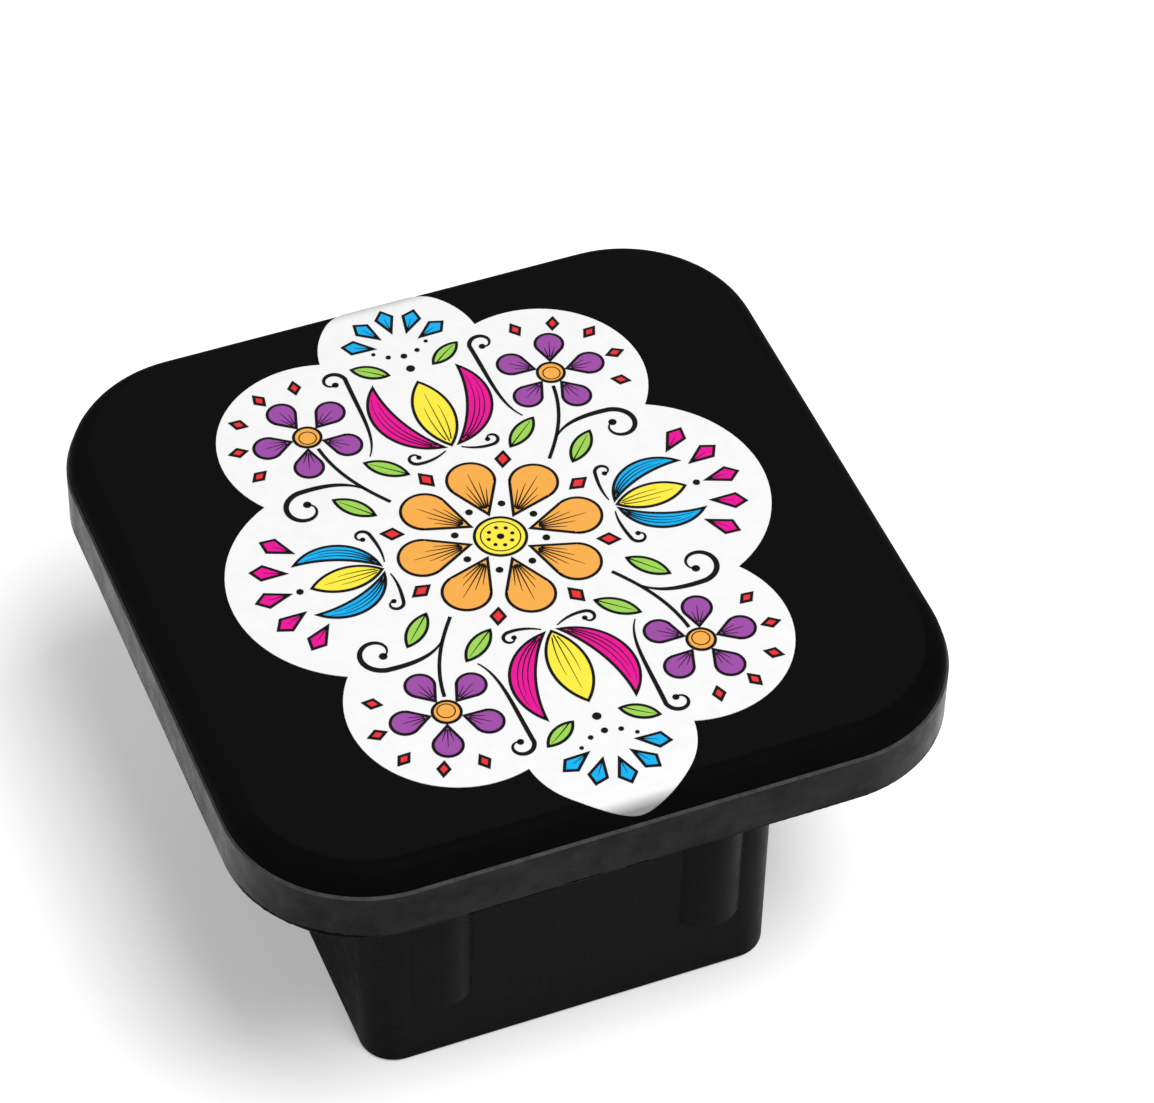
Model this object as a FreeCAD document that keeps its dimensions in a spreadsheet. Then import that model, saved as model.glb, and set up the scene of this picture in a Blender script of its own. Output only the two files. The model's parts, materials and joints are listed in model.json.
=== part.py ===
import FreeCAD, Part
import math
import os

import Sketcher
from FreeCAD import Placement, Rotation, Vector

# A hitch receiver cover: a moulded rubber plug that presses into a square
# receiver tube, with a wide flange that carries a printed face plate.
# Millimetres, +Z up. The cover stands on the plug's open mouth: Z is zero at
# the mouth, the plug's axis is the Z axis, and -Y is the side with the lower
# edge of the printed face.

doc = FreeCAD.newDocument("hitch_receiver_cover")

SIZES = {
    # the moulding's flange
    "flange_width": 80.0,
    "flange_corner": 15.4,
    "flange_thickness": 6.1,
    "flange_edge_bevel": 0.2,
    # the hollow square plug
    "plug_width": 48.0,
    "plug_corner": 4.0,
    "plug_length": 43.5,
    "plug_wall": 2.6,
    "plug_root_round": 0.8,
    "mouth_edge_bevel": 0.4,
    "hollow_corner": 0.8,
    "crown_wall": 5.0,
    # the crush ribs
    "rib_width": 7.2,
    "rib_height": 1.8,
    "rib_pitch": 31.7,
    "rib_end_gap": 7.4,
    "rib_end_slope": 2.3,
    # the printed face plate
    "plate_setback": 0.28,
    "plate_thickness": 3.1,
    "plate_edge_roll": 2.9,
    # the print on the plate
    "print_end_margin": 0.12,
    "ground_ink": 0.08,
    "colour_ink": 0.06,
}

sheet = doc.addObject("Spreadsheet::Sheet", "Sizes")
for row, (alias, size) in enumerate(SIZES.items(), start=1):
    sheet.set(f"A{row}", alias.replace("_", " "))
    sheet.set(f"B{row}", str(size))
    sheet.setAlias(f"B{row}", alias)
doc.recompute()

# sizes that follow from the driving ones, as expressions for the features
PLATE_WIDTH = "(Sizes.flange_width - 2 * Sizes.plate_setback)"
PLATE_CORNER = "(Sizes.flange_corner - Sizes.plate_setback)"
PLATE_SEAT = "(Sizes.plug_length + Sizes.flange_thickness)"
HOLLOW_WIDTH = "(Sizes.plug_width - 2 * Sizes.plug_wall)"
HOLLOW_DEPTH = f"({PLATE_SEAT} - Sizes.crown_wall)"
RIB_RADIUS = "((Sizes.rib_width ^ 2 / 4 + Sizes.rib_height ^ 2) / (2 * Sizes.rib_height))"
RIB_AXIS = f"(Sizes.plug_width / 2 + Sizes.rib_height - {RIB_RADIUS})"
RIB_SUNK = f"({RIB_RADIUS} - Sizes.rib_height)"
RIB_TOP = "(Sizes.plug_length + Sizes.flange_thickness / 2)"


def size(alias):
    """A driving size from the sheet."""
    return float(sheet.get(alias))


def origin_feature(body, role):
    """One of the body's own origin planes or axes."""
    return next(item for item in body.Origin.OriginFeatures if item.Role == role)


def new_body(label):
    body = doc.addObject("PartDesign::Body", label)
    body.Label = label
    body.Placement = Placement()
    return body


def new_sketch(body, name, plane, height="0"):
    """A sketch on one of the body's origin planes, lifted along the plane's normal."""
    sketch = body.newObject("Sketcher::SketchObject", name)
    sketch.AttachmentSupport = [(origin_feature(body, plane), "")]
    sketch.MapMode = "FlatFace"
    sketch.setExpression("AttachmentOffset.Base.z", height)
    return sketch


def bind(sketch, name, constraint, expression):
    """Add a dimension to the sketch, name it and tie it to the sheet."""
    index = sketch.addConstraint(constraint)
    sketch.renameConstraint(index, name)
    sketch.setExpression(f"Constraints.{name}", expression)


def rounded_square(body, name, width, corner, height):
    """A square with rounded corners about the body's axis."""
    sketch = new_sketch(body, name, "XY_Plane", height)
    half, run = 10.0, 8.0
    radius = half - run
    lines = [
        ((-run, -half), (run, -half)),
        ((half, -run), (half, run)),
        ((run, half), (-run, half)),
        ((-half, run), (-half, -run)),
    ]
    for start, end in lines:
        sketch.addGeometry(Part.LineSegment(Vector(*start, 0), Vector(*end, 0)))
    centres = [(run, -run), (run, run), (-run, run), (-run, -run)]
    for quarter, centre in enumerate(centres):
        circle = Part.Circle(Vector(*centre, 0), Vector(0, 0, 1), radius)
        first = (quarter - 1) * math.pi / 2
        sketch.addGeometry(Part.ArcOfCircle(circle, first, first + math.pi / 2))
    for side in range(4):
        following = (side + 1) % 4
        sketch.addConstraint(Sketcher.Constraint("Tangent", side, 2, side + 4, 1))
        sketch.addConstraint(Sketcher.Constraint("Tangent", side + 4, 2, following, 1))
    for side, direction in enumerate(("Horizontal", "Vertical", "Horizontal", "Vertical")):
        sketch.addConstraint(Sketcher.Constraint(direction, side))
    for arc in (5, 6, 7):
        sketch.addConstraint(Sketcher.Constraint("Equal", 4, arc))
    sketch.addConstraint(Sketcher.Constraint("Symmetric", 0, 1, 2, 1, -1, 1))
    bind(sketch, "Width", Sketcher.Constraint("DistanceX", 3, 1, 1, 1, 2 * half), width)
    bind(sketch, "Depth", Sketcher.Constraint("DistanceY", 0, 1, 2, 1, 2 * half), width)
    bind(sketch, "Corner", Sketcher.Constraint("Radius", 4, radius), corner)
    return sketch


def pad(body, name, sketch, length):
    feature = body.newObject("PartDesign::Pad", name)
    feature.Profile = sketch
    feature.setExpression("Length", length)
    doc.recompute()
    return feature


def dress(kind, body, name, edges, dimension, amount):
    """Round or bevel the edges of the body's last feature that the test picks."""
    base = body.Tip
    picked = [f"Edge{i}" for i, edge in enumerate(base.Shape.Edges, start=1) if edges(edge)]
    if not picked:
        raise RuntimeError(f"{name}: no edge to dress")
    feature = body.newObject(f"PartDesign::{kind}", name)
    feature.Base = (base, picked)
    feature.setExpression(dimension, amount)
    doc.recompute()
    return feature


def fillet(body, name, edges, radius):
    return dress("Fillet", body, name, edges, "Radius", radius)


def bevel(body, name, edges, width):
    return dress("Chamfer", body, name, edges, "Size", width)


def level_loop(height, inner, outer):
    """A test for level edges at a height, between two half widths from the axis."""
    def test(edge):
        box = edge.BoundBox
        reach = max(abs(box.XMin), abs(box.XMax), abs(box.YMin), abs(box.YMax))
        level = abs(box.ZMin - height) < 1e-4 and abs(box.ZMax - height) < 1e-4
        return level and inner < reach < outer
    return test


# The rubber moulding: flange, plug, crush ribs and hollow are one piece.

def crush_rib(body, name, plane, along):
    """A round-crowned bar with a sloping end on one wall, and its twin opposite.

    The bar is turned about an axis parallel to the wall and below its face,
    so that only the crown stands out. What reaches into the hollow is cut
    away with the hollow.
    """
    sketch = new_sketch(body, f"{name}_profile", plane, RIB_AXIS)
    sketch.setExpression("AttachmentOffset.Base.x", along)
    radius, sunk, low, slope, high = 4.0, 2.0, 10.0, 2.0, 40.0
    corners = [
        Vector(0, low, 0),
        Vector(sunk, low, 0),
        Vector(radius, low + slope, 0),
        Vector(radius, high, 0),
        Vector(0, high, 0),
    ]
    for start in range(5):
        following = (start + 1) % 5
        sketch.addGeometry(Part.LineSegment(corners[start], corners[following]))
    for start in range(5):
        following = (start + 1) % 5
        sketch.addConstraint(Sketcher.Constraint("Coincident", start, 2, following, 1))
    sketch.addConstraint(Sketcher.Constraint("Horizontal", 0))
    sketch.addConstraint(Sketcher.Constraint("Vertical", 2))
    sketch.addConstraint(Sketcher.Constraint("Horizontal", 3))
    sketch.addConstraint(Sketcher.Constraint("PointOnObject", 0, 1, -2))
    sketch.addConstraint(Sketcher.Constraint("PointOnObject", 3, 2, -2))
    bind(sketch, "Crown", Sketcher.Constraint("DistanceX", 3, 2, 3, 1, radius), RIB_RADIUS)
    bind(sketch, "Sunk", Sketcher.Constraint("DistanceX", 0, 1, 0, 2, sunk), RIB_SUNK)
    bind(sketch, "Low", Sketcher.Constraint("DistanceY", -1, 1, 0, 1, low), "Sizes.rib_end_gap")
    bind(sketch, "Slope", Sketcher.Constraint("DistanceY", 1, 1, 1, 2, slope), "Sizes.rib_end_slope")
    bind(sketch, "High", Sketcher.Constraint("DistanceY", -1, 1, 3, 2, high), RIB_TOP)

    bar = body.newObject("PartDesign::Revolution", name)
    bar.Profile = sketch
    bar.ReferenceAxis = (sketch, ["V_Axis"])
    bar.Angle = 360.0
    doc.recompute()

    twins = body.newObject("PartDesign::PolarPattern", f"{name}_pair")
    twins.Originals = [bar]
    twins.Axis = (origin_feature(body, "Z_Axis"), [""])
    twins.Angle = 360.0
    twins.Occurrences = 2
    body.Tip = twins
    doc.recompute()
    return twins


def make_plug_moulding():
    body = new_body("plug_moulding")
    outline = rounded_square(
        body, "flange_outline", "Sizes.flange_width", "Sizes.flange_corner", "Sizes.plug_length"
    )
    pad(body, "flange", outline, "Sizes.flange_thickness")

    outline = rounded_square(body, "plug_outline", "Sizes.plug_width", "Sizes.plug_corner", "0")
    pad(body, "plug", outline, "Sizes.plug_length")

    plug_half = size("plug_width") / 2
    near, far = plug_half - 0.01, plug_half + 0.01
    root = level_loop(size("plug_length"), near, far)
    fillet(body, "root_round", root, "Sizes.plug_root_round")

    crush_rib(body, "rib_front_left", "XZ_Plane", "-Sizes.rib_pitch / 2")
    crush_rib(body, "rib_front_right", "XZ_Plane", "Sizes.rib_pitch / 2")
    crush_rib(body, "rib_side", "YZ_Plane", "0")

    outline = rounded_square(body, "hollow_outline", HOLLOW_WIDTH, "Sizes.hollow_corner", "0")
    solid_volume = body.Shape.Volume
    hollow = body.newObject("PartDesign::Pocket", "hollow")
    hollow.Profile = outline
    hollow.Reversed = True
    hollow.setExpression("Length", HOLLOW_DEPTH)
    doc.recompute()
    if body.Shape.Volume > 0.8 * solid_volume:
        raise RuntimeError("the hollow cut too little")

    bevel(body, "mouth_bevel", level_loop(0.0, near, far), "Sizes.mouth_edge_bevel")
    flange_half = size("flange_width") / 2
    top = size("plug_length") + size("flange_thickness")
    rim = level_loop(top, flange_half - 0.01, flange_half + 0.01)
    bevel(body, "rim_bevel", rim, "Sizes.flange_edge_bevel")
    return body


# The face plate: a flat plate whose top edge rolls down all round.

def make_plate(label, growth):
    """The plate, or the same plate grown all round by the given thickness."""
    body = new_body(label)
    outline = rounded_square(
        body,
        f"{label}_outline",
        f"{PLATE_WIDTH} + 2 * {growth}",
        f"{PLATE_CORNER} + {growth}",
        PLATE_SEAT,
    )
    pad(body, f"{label}_slab", outline, f"Sizes.plate_thickness + {growth}")
    top = body.Shape.BoundBox.ZMax
    half = body.Shape.BoundBox.XMax
    edge = level_loop(top, half - 0.01, half + 0.01)
    fillet(body, f"{label}_roll", edge, f"Sizes.plate_edge_roll + {growth}")
    return body


# The print: fields of colour on a white medallion with round lobes. It is
# drawn outward from the middle, each motif a gap beyond the one before it,
# and the whole drawing is then scaled to the plate's length.

LOBES = 8
LOBE_BULGE = 8.2
SIDE_LOBE = 0
DIAGONAL_LOBE = 1
END_LOBE = 2
EDGE_MARGIN = 2.75

ROSETTE_EYE = 2.8
ROSETTE_GAP = 0.7
ROSETTE_PETAL = {"length": 8.0, "width": 5.2}
ROSETTE_BEAD = {"length": 2.2, "width": 1.5}
ROSETTE_BEAD_STEP = 1.0

END_TULIP = {"gap": 3.2, "share": 1.0}
SIDE_TULIP = {"gap": 2.0, "share": 0.76}
TULIP_HEART = {"length": 10.4, "width": 4.2}
TULIP_SIDE = {"length": 12.0, "bow": 1.0, "width": 2.7}
TULIP_SIDE_STEP = 0.9
TULIP_SIDE_TURN = 20.0

END_RAY = {"length": 3.4, "width": 1.9}
END_FAN = {"gap": 7.6, "spread": 66.0}
SIDE_RAY = {"length": 3.6, "width": 2.0}
SIDE_FAN = {"gap": 1.9, "spread": 44.0}
FAN_COUNT = 5
RAY_WIDEST = 0.68

DAISY_STEP = 2.0
DAISY_EYE = 1.5
DAISY_GAP = 0.4
DAISY_PETALS = 5
DAISY_PETAL = {"length": 4.2, "width": 3.1}
DAISY_BEAD = {"length": 1.8, "width": 1.2}
DAISY_BEAD_GAP = 0.8
DAISY_BEAD_SPREAD = 64.0

ROSETTE_LEAVES = (
    # length, width, gap from the rosette, bearing, direction
    (5.0, 1.9, 2.1, 64.0, 40.0),
    (5.0, 1.9, 2.3, 34.0, 47.0),
)
LOBE_LEAVES = (
    # length, width, lobe, step from its centre, bearing, direction
    (4.2, 1.7, END_LOBE, 4.2, -51.0, 32.0),
)

plate_half = size("flange_width") / 2 - size("plate_setback")
plate_top = size("plug_length") + size("flange_thickness") + size("plate_thickness")
rosette_reach = ROSETTE_EYE + ROSETTE_GAP + ROSETTE_PETAL["length"]
daisy_reach = DAISY_EYE + DAISY_GAP + DAISY_PETAL["length"]


def tulip_reach(gap, share):
    """How far a tulip reaches from the middle of the drawing."""
    side = TULIP_SIDE["length"] * math.cos(math.radians(TULIP_SIDE_TURN))
    return rosette_reach + gap + share * max(side, TULIP_HEART["length"])


# the medallion's half length and half width follow from what lies along them
half_length = tulip_reach(**END_TULIP) + END_FAN["gap"] + END_RAY["length"] + EDGE_MARGIN
half_width = tulip_reach(**SIDE_TULIP) + SIDE_FAN["gap"] + SIDE_RAY["length"] + EDGE_MARGIN
art_scale = (plate_half - size("print_end_margin")) / half_length


def polar(away, bearing):
    """The point at a distance from the origin, on a bearing from +X."""
    angle = math.radians(bearing)
    return Vector(away * math.cos(angle), away * math.sin(angle), 0)


def flip_y(point):
    return Vector(point.x, -point.y, point.z)


def arc(start, end, bulge):
    """An arc from start to end that bulges to the right of the way along it."""
    chord = end - start
    right = Vector(chord.y, -chord.x, 0).normalize()
    return Part.Arc(start, (start + end) / 2 + right * bulge, end).toShape()


def leaf(length, width):
    """A pointed leaf from the origin along +X."""
    tip = Vector(length, 0, 0)
    edges = [arc(Vector(), tip, width / 2), arc(tip, Vector(), width / 2)]
    return Part.Face(Part.Wire(edges))


def sickle(length, bow, width):
    """A leaf bowed to -Y, from the origin to the point at length along +X."""
    tip = Vector(length, 0, 0)
    edges = [arc(Vector(), tip, bow + width), arc(tip, Vector(), -bow)]
    return Part.Face(Part.Wire(edges))


def petal(length, width):
    """A drop with its point at the origin and its round end along +X."""
    radius = width / 2
    reach = length - radius
    spread = math.asin(radius / reach)
    run = math.sqrt(reach ** 2 - radius ** 2)
    lower = Vector(run * math.cos(spread), -run * math.sin(spread), 0)
    upper = flip_y(lower)
    edges = [
        Part.LineSegment(Vector(), lower).toShape(),
        Part.Arc(lower, Vector(length, 0, 0), upper).toShape(),
        Part.LineSegment(upper, Vector()).toShape(),
    ]
    return Part.Face(Part.Wire(edges))


def ray(length, width):
    """A kite from the origin along +X, widest near its far end."""
    wide = Vector(length * RAY_WIDEST, width / 2, 0)
    corners = [Vector(), flip_y(wide), Vector(length, 0, 0), wide, Vector()]
    return Part.Face(Part.makePolygon(corners))


def bead(length, width):
    """A diamond about the origin, with its length along X."""
    corners = [polar(half, 90.0 * i) for i, half in enumerate([length / 2, width / 2] * 2)]
    return Part.Face(Part.makePolygon(corners + corners[:1]))


def disc(radius):
    return Part.Face(Part.Wire(Part.makeCircle(radius)))


def put(face, place, turn=0.0, away=0.0):
    """The face moved out by away along +X, turned, then set at a place."""
    copy = face.copy()
    copy.translate(Vector(away, 0, 0))
    copy.rotate(Vector(), Vector(0, 0, 1), turn)
    copy.translate(place)
    return copy


def ring(face, count, away, first=0.0, centre=Vector()):
    """Copies of the face around a centre, each pointing outward."""
    return [put(face, centre, first + 360.0 * i / count, away) for i in range(count)]


def fan(face, away, spread, centre, outward):
    """Copies of the face spread evenly to both sides of the outward direction."""
    turns = [outward + spread * (2 * i / (FAN_COUNT - 1) - 1) for i in range(FAN_COUNT)]
    return [put(face, centre, turn, away) for turn in turns]


def flipped(face, across=False):
    """The face's mirror image over the X axis, or over the Y axis."""
    return face.mirror(Vector(), Vector(1, 0, 0) if across else Vector(0, 1, 0))


def mirrored_four(face):
    """The face and its mirror images over both axes of the medallion."""
    pair = [face, flipped(face)]
    return pair + [flipped(item, across=True) for item in pair]


def notch(i):
    """The point where lobe i meets the next one round."""
    half_turn = math.pi / LOBES
    angle = (2 * i + 1) * half_turn
    across = (half_width - LOBE_BULGE) / math.cos(half_turn)
    along = (half_length - LOBE_BULGE) / math.cos(half_turn)
    return Vector(across * math.cos(angle), along * math.sin(angle), 0)


def lobe_outward(i):
    chord = notch(i) - notch(i - 1)
    return Vector(chord.y, -chord.x, 0).normalize()


def lobe_centre(i):
    """The centre of lobe i's round edge."""
    chord = notch(i) - notch(i - 1)
    radius = (chord.Length ** 2 / 4 + LOBE_BULGE ** 2) / (2 * LOBE_BULGE)
    return notch(i - 1) + chord / 2 + lobe_outward(i) * (LOBE_BULGE - radius)


def medallion_face():
    edges = [arc(notch(i - 1), notch(i), LOBE_BULGE) for i in range(LOBES)]
    return Part.Face(Part.Wire(edges))


def tulip(outward, gap, share):
    """The heart leaf and the two outer petals of a tulip that grows outward."""
    heart_size = {key: length * share for key, length in TULIP_HEART.items()}
    side_size = {key: length * share for key, length in TULIP_SIDE.items()}
    foot = rosette_reach + gap
    side_foot = Vector(foot, -TULIP_SIDE_STEP * share, 0)
    side = put(sickle(**side_size), side_foot, -TULIP_SIDE_TURN)
    heart = put(leaf(**heart_size), Vector(), outward, foot)
    return heart, [put(item, Vector(), outward) for item in (side, flipped(side))]


def lobe_rays(lobe, outward, reach, ray_size, spread):
    """A fan of rays about a lobe's centre, a margin inside the lobe's round edge."""
    centre = lobe_centre(lobe)
    away = reach - EDGE_MARGIN - ray_size["length"] - centre.Length
    return fan(ray(**ray_size), away, spread, centre, outward)


def daisy_fields():
    """The petals, eye and beads of the daisy in the first diagonal lobe."""
    outward = lobe_outward(DIAGONAL_LOBE)
    centre = lobe_centre(DIAGONAL_LOBE) + outward * DAISY_STEP
    bearing = math.degrees(math.atan2(outward.y, outward.x))
    first = bearing + 180.0 / DAISY_PETALS
    petals = ring(petal(**DAISY_PETAL), DAISY_PETALS, DAISY_EYE + DAISY_GAP, first, centre)
    beads_away = daisy_reach + DAISY_BEAD_GAP + DAISY_BEAD["length"] / 2
    beads = fan(bead(**DAISY_BEAD), beads_away, DAISY_BEAD_SPREAD, centre, bearing)
    return petals, put(disc(DAISY_EYE), centre), beads


def print_fields():
    """The faces of each ink, laid out about the middle of the plate."""
    inks = ("magenta", "blue", "orange", "yellow", "green", "purple", "red")
    fields = {ink: [] for ink in inks}

    between = 180.0 / LOBES
    fields["yellow"].append(disc(ROSETTE_EYE))
    fields["orange"] += ring(petal(**ROSETTE_PETAL), LOBES, ROSETTE_EYE + ROSETTE_GAP)
    bead_away = rosette_reach - ROSETTE_BEAD_STEP + ROSETTE_BEAD["length"] / 2
    fields["red"] += ring(bead(**ROSETTE_BEAD), LOBES, bead_away, between)

    for first, ink, sizes in ((90.0, "magenta", END_TULIP), (0.0, "blue", SIDE_TULIP)):
        for outward in (first, first + 180.0):
            heart, sides = tulip(outward, **sizes)
            fields["yellow"].append(heart)
            fields[ink] += sides
    for item in lobe_rays(END_LOBE, 90.0, half_length, END_RAY, END_FAN["spread"]):
        fields["blue"] += [item, flipped(item)]
    for item in lobe_rays(SIDE_LOBE, 0.0, half_width, SIDE_RAY, SIDE_FAN["spread"]):
        fields["magenta"] += [item, flipped(item, across=True)]

    petals, eye, beads = daisy_fields()
    for ink, faces in (("purple", petals), ("orange", [eye]), ("red", beads)):
        for face in faces:
            fields[ink] += mirrored_four(face)

    for length, width, gap, bearing, direction in ROSETTE_LEAVES:
        foot = polar(rosette_reach + gap, bearing)
        fields["green"] += mirrored_four(put(leaf(length, width), foot, direction))
    for length, width, lobe, step, bearing, direction in LOBE_LEAVES:
        foot = lobe_centre(lobe) + polar(step, bearing)
        fields["green"] += mirrored_four(put(leaf(length, width), foot, direction))
    return fields


def scaled(face):
    """The face at the printed size."""
    return face.scaled(art_scale)


def make_print_ground(plate):
    """The white ink: a thin skin that follows the plate over its rolled edge."""
    blank = make_plate("ground_blank", "Sizes.ground_ink")
    skin = doc.addObject("Part::Cut", "ground_skin")
    skin.Base = blank
    skin.Tool = plate
    outline = doc.addObject("Part::Feature", "ground_outline")
    outline.Shape = scaled(medallion_face())
    column = doc.addObject("Part::Extrusion", "ground_column")
    column.Base = outline
    column.DirMode = "Custom"
    column.Dir = Vector(0, 0, 1)
    column.Solid = True
    column.setExpression("LengthFwd", f"{PLATE_SEAT} + 2 * Sizes.plate_thickness")
    ground = doc.addObject("Part::Common", "print_white")
    ground.Base = skin
    ground.Tool = column
    ground.Label = "print_white"
    ground.Placement = Placement()
    doc.recompute()
    return ground


def make_print_field(label, faces):
    """One colour of ink on the white ground, as a group of thin fields."""
    rise = Vector(0, 0, size("colour_ink"))
    field = doc.addObject("Part::Feature", label)
    field.Label = label
    field.Shape = Part.makeCompound([scaled(face).extrude(rise) for face in faces])
    field.Placement = Placement(Vector(0, 0, plate_top + size("ground_ink")), Rotation())
    return field


moulding = make_plug_moulding()
plate = make_plate("face_plate", "0")
sub_parts = [moulding, plate, make_print_ground(plate)]
for colour, faces in print_fields().items():
    sub_parts.append(make_print_field(f"print_{colour}", faces))
doc.recompute()

for item in doc.Objects:
    if "Invalid" in item.State or "Error" in item.State:
        raise RuntimeError(f"{item.Name} failed: {item.State}")
for part in sub_parts:
    if part.Shape.isNull() or not part.Shape.isValid() or not part.Shape.Solids:
        raise RuntimeError(f"{part.Label} has no valid shape")

os.makedirs("parts", exist_ok=True)
for part in sub_parts:
    part.Shape.exportStep(f"parts/{part.Label}.step")
    box = part.Shape.BoundBox
    print(
        part.Label,
        len(part.Shape.Solids), "solids",
        round(part.Shape.Volume, 3), "mm3",
        round(box.XLength, 2), round(box.YLength, 2), round(box.ZMin, 2), round(box.ZMax, 2),
    )
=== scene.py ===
import json
import math
import random

import bpy
from mathutils import Matrix, Vector, noise


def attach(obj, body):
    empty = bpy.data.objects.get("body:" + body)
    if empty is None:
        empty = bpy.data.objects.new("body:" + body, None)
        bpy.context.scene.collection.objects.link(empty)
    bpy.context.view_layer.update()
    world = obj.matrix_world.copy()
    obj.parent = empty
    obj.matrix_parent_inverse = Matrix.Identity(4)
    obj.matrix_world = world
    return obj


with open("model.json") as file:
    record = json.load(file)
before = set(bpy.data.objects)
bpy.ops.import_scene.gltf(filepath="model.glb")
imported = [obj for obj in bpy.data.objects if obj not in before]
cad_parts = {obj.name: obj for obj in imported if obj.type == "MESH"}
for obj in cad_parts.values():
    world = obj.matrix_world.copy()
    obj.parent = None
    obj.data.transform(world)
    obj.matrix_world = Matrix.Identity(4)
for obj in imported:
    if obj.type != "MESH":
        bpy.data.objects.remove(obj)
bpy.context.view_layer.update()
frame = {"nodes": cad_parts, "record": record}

# A hitch receiver cover that stands on the open mouth of its plug, printed
# face up. Metres, in the frame of the solids. The rubber, the plate and the
# fields of colour are the solids' own pieces. Added here are the finishes,
# the black line work of the print and the ragged flash of the mould.

MM = 0.001
TINY = 1e-9
PLUG_LENGTH = 43.5 * MM
FLANGE_HALF = 40.0 * MM
FLANGE_CORNER = 15.4 * MM
PLATE_HALF = 39.72 * MM
PLATE_CORNER = 15.12 * MM
PLATE_ROLL = 2.9 * MM
RIM_HEIGHT = 49.6 * MM
WHITE_TOP = 52.78 * MM
COLOUR_TOP = 52.84 * MM


# Meshes

def new_piece(name, verts, faces, material, slot):
    """A mesh piece of the cover, riding on its one body."""
    mesh = bpy.data.meshes.new(name)
    mesh.from_pydata([tuple(v) for v in verts], [], faces)
    mesh.validate()
    mesh.update()
    piece = bpy.data.objects.new(name, mesh)
    bpy.context.scene.collection.objects.link(piece)
    mesh.materials.append(material)
    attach(piece, "root")
    return piece


def spaced(line, step):
    """The same line with points an even step apart."""
    runs = [(b - a).length for a, b in zip(line, line[1:])]
    total = sum(runs)
    count = max(2, round(total / step))
    stops = [total * i / count for i in range(count + 1)]
    result = []
    leg, gone = 0, 0.0
    for stop in stops:
        while leg < len(runs) - 1 and gone + runs[leg] < stop:
            gone += runs[leg]
            leg += 1
        share = (stop - gone) / runs[leg] if runs[leg] > 0 else 0.0
        result.append(line[leg].lerp(line[leg + 1], min(1.0, share)))
    return result


def face_height(x, y):
    """The height of the printed surface above the floor, with the plate's rolled edge."""
    flat_corner = PLATE_CORNER - PLATE_ROLL
    straight = PLATE_HALF - PLATE_ROLL - flat_corner
    over_x = abs(x) - straight
    over_y = abs(y) - straight
    outside = math.hypot(max(over_x, 0.0), max(over_y, 0.0))
    beyond = outside + min(max(over_x, over_y), 0.0) - flat_corner
    if beyond <= 0.0:
        return COLOUR_TOP
    roll = PLATE_ROLL + COLOUR_TOP - WHITE_TOP
    return COLOUR_TOP - roll + math.sqrt(max(roll ** 2 - beyond ** 2, 0.0))


LINE_RISE = 0.012 * MM
LINE_SINK = 0.075 * MM
SHARPEST_MITRE = 0.35
DOT_SIDES = 18


def ink_line(store, points, widths, closed=False):
    """A flat raised line of ink along the points, added to the store of verts and faces."""
    verts, faces = store
    base = len(verts)
    count = len(points)
    for i, point in enumerate(points):
        before = points[i - 1] if (i > 0 or closed) else point
        after = points[(i + 1) % count] if (i < count - 1 or closed) else point
        chord = (after - before).normalized()
        into = (point - before).normalized() if (point - before).length > 0 else chord
        out = (after - point).normalized() if (after - point).length > 0 else chord
        way = into + out
        way = way.normalized() if way.length > TINY else into
        side = Vector((-way.y, way.x))
        half_turn = max(SHARPEST_MITRE, abs(side.dot(Vector((-into.y, into.x)))))
        reach = widths[i] / 2 / half_turn
        top = face_height(point.x, point.y) + LINE_RISE
        for sign, height in ((1, top), (-1, top), (-1, top - LINE_SINK), (1, top - LINE_SINK)):
            at = point + side * (reach * sign)
            verts.append((at.x, at.y, height))
    for i in range(count if closed else count - 1):
        here = base + 4 * i
        there = base + 4 * ((i + 1) % count)
        for k in range(4):
            following = (k + 1) % 4
            faces.append((here + k, here + following, there + following, there + k))
    if not closed:
        faces.append((base + 3, base + 2, base + 1, base))
        last = base + 4 * (count - 1)
        faces.append((last, last + 1, last + 2, last + 3))


def ink_dot(store, centre, radius):
    """A small round dot of ink."""
    verts, faces = store
    base = len(verts)
    top = face_height(centre.x, centre.y) + LINE_RISE
    for height in (top, top - LINE_SINK):
        for i in range(DOT_SIDES):
            turn = 2 * math.pi * i / DOT_SIDES
            across = radius * math.cos(turn)
            along = radius * math.sin(turn)
            verts.append((centre.x + across, centre.y + along, height))
    faces.append(tuple(range(base, base + DOT_SIDES)))
    faces.append(tuple(range(base + 2 * DOT_SIDES - 1, base + DOT_SIDES - 1, -1)))
    for i in range(DOT_SIDES):
        j = (i + 1) % DOT_SIDES
        faces.append((base + j, base + i, base + DOT_SIDES + i, base + DOT_SIDES + j))


# The outlines of the fields of colour, read from the solids

PLACES_PER_METRE = 1e7
FACES_UP = 0.5
LOWEST_TOP = WHITE_TOP - 0.4 * MM


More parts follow.
